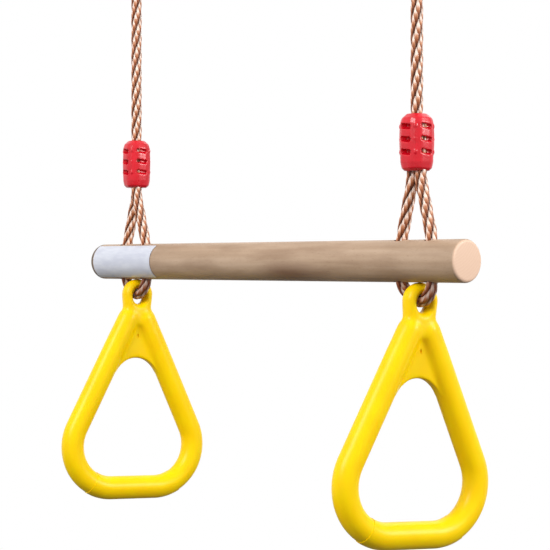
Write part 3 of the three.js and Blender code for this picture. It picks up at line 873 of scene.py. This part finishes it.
def moulded_plastic(name, colours, roughness, specular, wave_size):
    material, tree, shader = start_material(
        name, Roughness=roughness, IOR=1.49, Specular_IOR_Level=specular
    )
    place = add_node(tree, "ShaderNodeTexCoord").outputs["Object"]
    ripples = []
    for size in (wave_size, GRAIN_SIZE):
        inputs = {"Vector": place, "Scale": 1 / size, "Detail": 2.0}
        ripples.append(add_node(tree, "ShaderNodeTexNoise", inputs=inputs).outputs["Fac"])
    waves, grain = ripples
    stops = [(0.35, colours[0]), (0.65, colours[1])]
    colour = add_node(tree, "ShaderNodeValToRGB", inputs=[waves], stops=stops)
    shallow = add_node(
        tree, "ShaderNodeBump", inputs={"Height": waves, "Strength": 0.25, "Distance": 0.3 * MM}
    )
    skin = add_node(
        tree,
        "ShaderNodeBump",
        inputs={
            "Height": grain,
            "Strength": 0.1,
            "Distance": 0.03 * MM,
            "Normal": shallow.outputs["Normal"],
        },
    )
    tree.links.new(colour.outputs["Color"], shader.inputs["Base Color"])
    tree.links.new(skin.outputs["Normal"], shader.inputs["Normal"])
    return material, shader


clamp_material, _ = moulded_plastic(
    "red_moulded_polypropylene",
    ["#CC0A1E", "#D81226"],
    roughness=0.24,
    specular=0.45,
    wave_size=7 * MM,
)


# %% Make the clamps
def place_copy(source, name, matrix):
    piece = add_object(name, source.data.copy())
    piece.matrix_world = matrix
    place_in_mesh(piece, name)
    bpy.ops.object.shade_smooth()
    return piece


upper_shape = rope_clamp(0)
turned_over = Matrix.Rotation(math.pi, 4, "X")
for side, facts in SIDES.items():
    upper_seat = Matrix.Translation((facts["x"], 0, UPPER_MOUTH)) @ turned_over
    upper = place_copy(upper_shape, f"{side}_moulded_upper_clamp", upper_seat)
    dress(upper, f"{side}_eye", clamp_material, [f"{side}_upper_clamp"])
    lower_shape = rope_clamp(facts["pair_turn"] - facts["clamp_turn"])
    turn = Matrix.Rotation(facts["clamp_turn"], 4, "Z")
    lower_seat = Matrix.Translation((facts["x"], 0, LOWER_MOUTH)) @ turn
    lower = place_copy(lower_shape, f"{side}_moulded_lower_clamp", lower_seat)
    dress(lower, "bar", clamp_material, [f"{side}_lower_clamp"])
    bpy.data.objects.remove(lower_shape, do_unlink=True)
bpy.data.objects.remove(upper_shape, do_unlink=True)

# %% [markdown]
# ## The steel rings
# Each rope hangs on a ring of 6 mm steel wire, bent round and butt welded. A torus gives the
# bent wire, and the weld is a low bead right round the wire at one place, so the wire's skin is
# pushed out a little there, and rippled as a run of weld cools.

# %% Steel rings
STEEL_CENTRE_RADIUS = 23 * MM
WIRE_RADIUS = 3 * MM
STEEL_CENTRE_Z = -20 * MM
WELD_ANGLE = math.radians(90)
WELD_HALF_LENGTH = math.radians(7)
WELD_HEIGHT = 0.35 * MM
WELD_RIPPLE = 0.12
SPANGLE_SIZE = 2.5 * MM
bpy.ops.mesh.primitive_torus_add(
    major_segments=240,
    minor_segments=32,
    major_radius=STEEL_CENTRE_RADIUS,
    minor_radius=WIRE_RADIUS,
)
steel_shape = place_in_mesh(bpy.context.object, "steel_shape")
for vertex in steel_shape.data.vertices:
    around = math.atan2(vertex.co.y, vertex.co.x)
    away = math.remainder(around - WELD_ANGLE, 2 * math.pi) / WELD_HALF_LENGTH
    if abs(away) < 1:
        wire_centre = Vector((math.cos(around), math.sin(around), 0)) * STEEL_CENTRE_RADIUS
        outward = (vertex.co - wire_centre).normalized()
        ripple = 1 + WELD_RIPPLE * math.cos(away * 4 * math.pi)
        bead = math.cos(away * math.pi / 2) ** 0.5 * ripple
        vertex.co += outward * WELD_HEIGHT * bead

steel_material, tree, shader = start_material("zinc_plated_steel", Metallic=1.0)
place = add_node(tree, "ShaderNodeTexCoord").outputs["Object"]
spangle = add_node(
    tree,
    "ShaderNodeTexNoise",
    inputs={"Vector": place, "Scale": 1 / SPANGLE_SIZE, "Detail": 4.0},
).outputs["Fac"]
zinc_colour = add_node(
    tree, "ShaderNodeValToRGB", inputs=[spangle], stops=[(0.3, "#A9ACB0"), (0.7, "#C4C6C8")]
)
zinc_roughness = add_node(tree, "ShaderNodeMapRange", inputs=[spangle, 0.3, 0.7, 0.22, 0.38])
tree.links.new(zinc_colour.outputs["Color"], shader.inputs["Base Color"])
tree.links.new(zinc_roughness.outputs["Result"], shader.inputs["Roughness"])
upright = Matrix.Rotation(math.pi / 2, 4, "Y")
for side, facts in SIDES.items():
    seat = Matrix.Translation((facts["x"], 0, STEEL_CENTRE_Z)) @ upright
    ring = place_copy(steel_shape, f"{side}_welded_ring", seat)
    dress(ring, "hangers", steel_material, [f"{side}_steel_ring"])
bpy.data.objects.remove(steel_shape, do_unlink=True)

# %% [markdown]
# ## The gym rings
# Each ring is one polypropylene moulding: a round tube bent into a rounded triangle, a boss with
# an oval eye for the rope, a neck that flares into the two sides, and a thin web under the eye.
# Sub-division modelling could do it, but the parts meet at odd angles. So each part is made on
# its own and sunk into the next, a voxel remesh turns them into one skin, and a smooth modifier
# melts the joints as the mould's rounded corners do. The hollows beside the web have the softest
# corners, so a vertex group gives them many more rounds of smoothing than the rest. The grip is
# a slightly thicker sleeve with an eased edge, so it stays a piece of its own.

# %% Ring sizes, in the ring's own plane
SIDE_RADIUS = 10.95 * MM
GRIP_RADIUS = 11.4 * MM
GRIP_DROP = 191.2 * MM
GRIP_HALF_STRAIGHT = 23.2 * MM
GRIP_EDGE = 0.45 * MM
CORNER_RADIUS = 41.6 * MM
SHOULDER_SPREAD = 8.7 * MM
SHOULDER_DROP = 24 * MM
BOSS_RADIUS = 15.3 * MM
BOSS_THICKNESS = 16.6 * MM
BOSS_EDGE = 7 * MM
NECK_HALF_WIDTH = 14.2 * MM
NECK_DROP = 13 * MM
HOLLOW_DROP = 36 * MM
HOLLOW_RADIUS = 4 * MM
HOLLOW_FLARE = 0.7
HOLLOW_LENGTH = 6 * MM
WEB_THICKNESS = 8.8 * MM
NECK_TOP = 8 * MM
WEB_START = 40 * MM
OPENING_TOP = 63 * MM
SOFT_END = OPENING_TOP + 4 * MM
SOFT_FALL = 2.2
SOFT_FADE = 8 * MM
NECK_FADE = 6 * MM
EYE_HALF_WIDTH = 6 * MM
EYE_TOP = 5.3 * MM
EYE_BOTTOM = 9.2 * MM
EYE_LIP = 4.8 * MM
GRIP_ARC = math.radians(30)
GATE_DROP = 41 * MM
GATE_RADIUS = 1.4 * MM
GATE_STRETCH = (1, 0.7, 1.2)
ARC_STEPS = 32
BOSS_STEPS = 48
LIP_STEPS = 8
GRIP_STEPS = 20
RING_VOXEL = 0.8 * MM
RING_SMOOTHING = 6
FILLET_SMOOTHING = 70
corner_drop = GRIP_DROP - CORNER_RADIUS
corner_out = GRIP_HALF_STRAIGHT - SHOULDER_SPREAD
corner_below = corner_drop - SHOULDER_DROP
side_angle = math.atan2(corner_out, corner_below) + math.asin(
    CORNER_RADIUS / math.hypot(corner_out, corner_below)
)
print("each side leans", round(math.degrees(side_angle), 2), "degrees")


# %% Ring parts
def corner_arc(side, from_angle, to_angle, steps):
    points = []
    for i in range(steps + 1):
        angle = from_angle + (to_angle - from_angle) * i / steps
        out = GRIP_HALF_STRAIGHT + CORNER_RADIUS * math.cos(angle)
        points.append((side * out, -corner_drop + CORNER_RADIUS * math.sin(angle)))
    return points


def tube_along(outline, radius, name):
    curve = bpy.data.curves.new(name, "CURVE")
    curve.dimensions = "3D"
    curve.bevel_depth = radius
    curve.bevel_resolution = 14
    curve.use_fill_caps = True
    spline = curve.splines.new("POLY")
    spline.points.add(len(outline) - 1)
    for point, (y, z) in zip(spline.points, outline):
        point.co = (0, y, z, 1)
    select_only(add_object(name, curve))
    bpy.ops.object.convert(target="MESH")
    return bpy.context.object


def plate_from(outline, thickness, name):
    mesh = bpy.data.meshes.new(name)
    corners = [(-thickness / 2, y, z) for y, z in outline]
    mesh.from_pydata(corners, [], [tuple(range(len(corners)))])
    piece = add_object(name, mesh)
    edit_all(piece)
    bpy.ops.mesh.extrude_region_move(TRANSFORM_OT_translate={"value": (thickness, 0, 0)})
    return close_up(piece)


def side_spread(drop):
    return SHOULDER_SPREAD + (drop - SHOULDER_DROP) * math.tan(side_angle)


def ring_tube():
    lower = [(SHOULDER_SPREAD, -SHOULDER_DROP)]
    lower += corner_arc(1, side_angle, -math.pi / 2, ARC_STEPS)
    outline = lower + [(-y, z) for y, z in reversed(lower)]
    return tube_along(outline, SIDE_RADIUS, "ring_tube")


def ring_shoulder(side):
    place = (0, side * SHOULDER_SPREAD, -SHOULDER_DROP)
    bpy.ops.mesh.primitive_uv_sphere_add(
        segments=48, ring_count=24, radius=SIDE_RADIUS, location=place
    )
    return place_in_mesh(bpy.context.object, "ring_shoulder")


def ring_neck():
    turns = [math.pi * i / BOSS_STEPS for i in range(BOSS_STEPS + 1)]
    outline = [(BOSS_RADIUS * math.cos(turn), BOSS_RADIUS * math.sin(turn)) for turn in turns]
    outline += [(-NECK_HALF_WIDTH, -NECK_DROP), (-NECK_HALF_WIDTH, -HOLLOW_DROP)]
    outline += [(NECK_HALF_WIDTH, -HOLLOW_DROP), (NECK_HALF_WIDTH, -NECK_DROP)]
    neck = plate_from(outline, BOSS_THICKNESS, "ring_neck")
    edges_where(neck, lambda a, b: abs(a.x - b.x) < TINY and max(a.z, b.z) > -HOLLOW_DROP + TINY)
    bpy.ops.mesh.bevel(offset=BOSS_EDGE, segments=8, profile=0.5)
    bpy.ops.object.mode_set(mode="OBJECT")
    for facing in (-1, 1):
        bpy.ops.mesh.primitive_cone_add(
            vertices=48,
            radius1=HOLLOW_RADIUS,
            radius2=HOLLOW_RADIUS + HOLLOW_FLARE * HOLLOW_LENGTH,
            depth=HOLLOW_LENGTH,
            location=(facing * (WEB_THICKNESS + HOLLOW_LENGTH) / 2, 0, -HOLLOW_DROP),
            rotation=(0, facing * math.pi / 2, 0),
        )
        combine(neck, bpy.context.object, "DIFFERENCE")
    return neck


def ring_web():
    half_top = side_spread(OPENING_TOP) - SIDE_RADIUS / math.cos(side_angle)
    arch_radius = half_top * math.cos(side_angle) / (1 - math.sin(side_angle))
    arch_drop = OPENING_TOP + arch_radius
    foot_drop = arch_drop - arch_radius * math.sin(side_angle) + SIDE_RADIUS
    outline = [(-SHOULDER_SPREAD, -SHOULDER_DROP), (-side_spread(foot_drop), -foot_drop)]
    for i in range(ARC_STEPS + 1):
        angle = math.pi - side_angle + (2 * side_angle - math.pi) * i / ARC_STEPS
        outline.append((arch_radius * math.cos(angle), -arch_drop + arch_radius * math.sin(angle)))
    outline += [(side_spread(foot_drop), -foot_drop), (SHOULDER_SPREAD, -SHOULDER_DROP)]
    return plate_from(outline, WEB_THICKNESS, "ring_web")


def eye_cutter():
    half = BOSS_THICKNESS / 2
    flared = EYE_HALF_WIDTH + EYE_LIP
    profile = [(-half - CUT_OVERRUN, 0), (-half - CUT_OVERRUN, flared)]
    for i in range(-LIP_STEPS, LIP_STEPS + 1):
        angle = i / LIP_STEPS * math.pi / 2
        profile.append((half * math.sin(angle), flared - EYE_LIP * math.cos(angle)))
    profile += [(half + CUT_OVERRUN, flared), (half + CUT_OVERRUN, 0)]
    mesh = bpy.data.meshes.new("eye_cutter")
    mesh.from_pydata(
        [(x, y, 0) for x, y in profile], [(i, i + 1) for i in range(len(profile) - 1)], []
    )
    cutter = add_object("eye_cutter", mesh)
    edit_all(cutter)
    bpy.ops.mesh.spin(steps=64, angle=2 * math.pi, center=(0, 0, 0), axis=(1, 0, 0))
    bpy.ops.mesh.select_all(action="SELECT")
    bpy.ops.mesh.remove_doubles(threshold=TINY)
    close_up(cutter)
    cutter.scale = (1, 1, (EYE_TOP + EYE_BOTTOM) / (2 * EYE_HALF_WIDTH))
    cutter.location = (0, 0, (EYE_TOP - EYE_BOTTOM) / 2)
    return place_in_mesh(cutter, "eye_cutter")


def soften_hollows(moulding):
    hollow = moulding.vertex_groups.new(name="hollow")
    for vertex in moulding.data.vertices:
        drop = -vertex.co.z
        if not NECK_TOP < drop < SOFT_END:
            continue
        out = abs(vertex.co.y) / side_spread(max(drop, SHOULDER_DROP))
        inside = min(1, max(0, SOFT_FALL - SOFT_FALL * out))
        neck = min(1, max(0, (WEB_START - drop) / SOFT_FADE))
        top = min(1, (drop - NECK_TOP) / NECK_FADE)
        end = min(1, (SOFT_END - drop) / SOFT_FADE)
        hollow.add([vertex.index], max(inside, neck) * top * end, "REPLACE")
    apply_modifier(
        moulding, "SMOOTH", factor=0.5, iterations=FILLET_SMOOTHING, vertex_group="hollow"
    )


def ring_moulding():
    neck = ring_neck()
    parts = [neck, ring_tube(), ring_shoulder(-1), ring_shoulder(1), ring_web()]
    moulding = join(parts, "ring_moulding")
    apply_modifier(moulding, "REMESH", mode="VOXEL", voxel_size=RING_VOXEL, adaptivity=0.0)
    soften_hollows(moulding)
    combine(moulding, eye_cutter(), "DIFFERENCE")
    apply_modifier(moulding, "REMESH", mode="VOXEL", voxel_size=RING_VOXEL, adaptivity=0.0)
    apply_modifier(moulding, "SMOOTH", factor=0.5, iterations=RING_SMOOTHING)
    bpy.ops.mesh.primitive_uv_sphere_add(
        segments=16, ring_count=8, radius=GATE_RADIUS, location=(WEB_THICKNESS / 2, 0, -GATE_DROP)
    )
    bpy.context.object.scale = GATE_STRETCH
    combine(moulding, bpy.context.object, "DIFFERENCE")
    return moulding


def ring_grip():
    lowest = -math.pi / 2
    half = corner_arc(1, lowest + GRIP_ARC, lowest, GRIP_STEPS)
    outline = half + [(-y, z) for y, z in reversed(half)]
    grip = tube_along(outline, GRIP_RADIUS, "ring_grip")
    rims = [face.index for face in grip.data.polygons if len(face.vertices) > 4]
    select_only(grip)
    bpy.ops.object.mode_set(mode="EDIT")
    bpy.ops.mesh.select_mode(type="FACE")
    bpy.ops.mesh.select_all(action="DESELECT")
    shape = bmesh.from_edit_mesh(grip.data)
    shape.faces.ensure_lookup_table()
    for index in rims:
        shape.faces[index].select_set(True)
    bmesh.update_edit_mesh(grip.data)
    bpy.ops.mesh.bevel(offset=GRIP_EDGE, segments=3, profile=0.5)
    return close_up(grip)


# %% [markdown]
# ## Yellow moulded plastic
# The rings are the same polypropylene as the clamps, in a deep sunny yellow. It is a little less
# glossy, and some light goes into it and comes out again near by, which keeps its shaded side warm
# orange. A small share of subsurface scattering does that.

# %% Make the gym rings
ring_material, shader = moulded_plastic(
    "yellow_moulded_polypropylene",
    ["#FFD000", "#FFD600"],
    roughness=0.32,
    specular=0.18,
    wave_size=22 * MM,
)
shader.inputs["Subsurface Weight"].default_value = 0.15
shader.inputs["Subsurface Radius"].default_value = (1.0, 0.45, 0.05)
shader.inputs["Subsurface Scale"].default_value = 3 * MM
moulding = ring_moulding()
grip = ring_grip()
for side, facts in SIDES.items():
    seat = Matrix.Translation((facts["x"], facts["eye_back"], BAR_UNDERSIDE - EYE_DROP))
    seat = seat @ Matrix.Rotation(facts["ring_yaw"], 4, "Z")
    seat = seat @ Matrix.Rotation(facts["ring_tip"], 4, "Y")
    seat = seat @ Matrix.Rotation(facts["ring_lean"], 4, "X")
    piece = place_copy(moulding, f"{side}_ring_moulding", seat)
    dress(piece, f"{side}_gym_ring_body", ring_material, [f"{side}_gym_ring"])
    piece = place_copy(grip, f"{side}_ring_grip", seat)
    bpy.ops.object.shade_smooth_by_angle(angle=math.radians(50))
    dress(piece, f"{side}_gym_ring_body", ring_material)
for source in (moulding, grip):
    bpy.data.objects.remove(source, do_unlink=True)

# %% [markdown]
# ## Studio
# The object hangs in front of a white backdrop. The world is white where the camera, a glossy
# surface or clear plastic sees it. What it lights is brighter from above than from below, as in a
# room with a white ceiling. The floor lies well below the rings and fades into the world's white
# at its edge, so that it shows the object's shadow without a border. To everything but the camera
# it is a plain grey floor, so the undersides of bar and rings stay darker.

# %% World and floor
WHITE = (1, 1, 1, 1)
world = bpy.data.worlds.new("studio")
bpy.context.scene.world = world
world.use_nodes = True
tree = world.node_tree
tree.nodes.clear()
rays = add_node(tree, "ShaderNodeLightPath").outputs
seen = rays["Is Camera Ray"]
for kind in ("Is Glossy Ray", "Is Transmission Ray"):
    either = add_node(tree, "ShaderNodeMath", {"operation": "MAXIMUM"}, [seen, rays[kind]])
    seen = either.outputs[0]
direction = add_node(tree, "ShaderNodeTexCoord").outputs["Generated"]
upness = add_node(tree, "ShaderNodeSeparateXYZ", inputs=[direction]).outputs["Z"]
light = add_node(tree, "ShaderNodeMapRange", inputs=[upness, -0.3, 0.8, 0.25, 0.8])
strength = add_node(
    tree, "ShaderNodeMapRange", inputs=[seen, 0.0, 1.0, light.outputs["Result"], 1.0]
)
sky = add_node(
    tree,
    "ShaderNodeBackground",
    inputs={"Color": WHITE, "Strength": strength.outputs["Result"]},
)
add_node(tree, "ShaderNodeOutputWorld", inputs={"Surface": sky.outputs["Background"]})

FLOOR_Z = -0.95
FLOOR_RADIUS = 1.4
FADE_RADIUS = 0.7
bpy.ops.mesh.primitive_circle_add(
    vertices=96, radius=FLOOR_RADIUS, fill_type="NGON", location=(0, 0, FLOOR_Z)
)
floor = place_in_mesh(bpy.context.object, "floor")
floor_material, tree, shader = start_material("floor_paper", Roughness=0.9)
seen = add_node(tree, "ShaderNodeLightPath").outputs["Is Camera Ray"]
inputs = {0: seen, 6: linear("#5C5C5C"), 7: linear("#F4F4F4")}
paper = add_node(tree, "ShaderNodeMix", {"data_type": "RGBA"}, inputs)
tree.links.new(paper.outputs[2], shader.inputs["Base Color"])
white = add_node(tree, "ShaderNodeEmission", inputs={"Color": WHITE, "Strength": 1.0})
place = add_node(tree, "ShaderNodeTexCoord").outputs["Object"]
reach = add_node(tree, "ShaderNodeVectorMath", {"operation": "LENGTH"}, [place])
fade = (math.hypot(FADE_RADIUS, FLOOR_Z), math.hypot(FLOOR_RADIUS, FLOOR_Z))
rim = add_node(
    tree,
    "ShaderNodeMapRange",
    {"interpolation_type": "SMOOTHSTEP"},
    [reach.outputs["Value"], *fade, 0.35, 1.0],
)
faded = add_node(
    tree, "ShaderNodeMath", {"operation": "MULTIPLY"}, [rim.outputs["Result"], seen]
)
surface = add_node(
    tree,
    "ShaderNodeMixShader",
    inputs=[faded.outputs[0], shader.outputs["BSDF"], white.outputs["Emission"]],
)
tree.links.new(surface.outputs["Shader"], tree.nodes["Material Output"].inputs["Surface"])
floor.data.materials.append(floor_material)

# %% [markdown]
# ## Lamps
# A large softbox stands high beside the camera and gives most of the light, so that each round
# piece is brightest on its upper front. A second one stands low to the right, and leaves a soft
# sheen on the clamps' right faces and on the rings' right corners. A weak lamp behind parts the
# edges from the backdrop.

# %% Lamps
LAMPS = {
    "key": {"at": (0.1, -1.95, 0.75), "size": 1.0, "watts": 38},
    "right": {"at": (1.9, 0.85, 0.35), "size": 0.8, "watts": 32},
    "back": {"at": (-0.4, 1.9, 1.2), "size": 1.4, "watts": 8},
}
target = Vector((0, 0, -0.35))
for name, facts in LAMPS.items():
    lamp_data = bpy.data.lights.new(name, "AREA")
    lamp_data.shape = "SQUARE"
    lamp_data.size = facts["size"]
    lamp_data.energy = facts["watts"]
    lamp = add_object(name, lamp_data)
    lamp.location = facts["at"]
    lamp.rotation_euler = (target - lamp.location).to_track_quat("-Z", "Y").to_euler()
bpy.context.scene.view_settings.view_transform = "Standard"
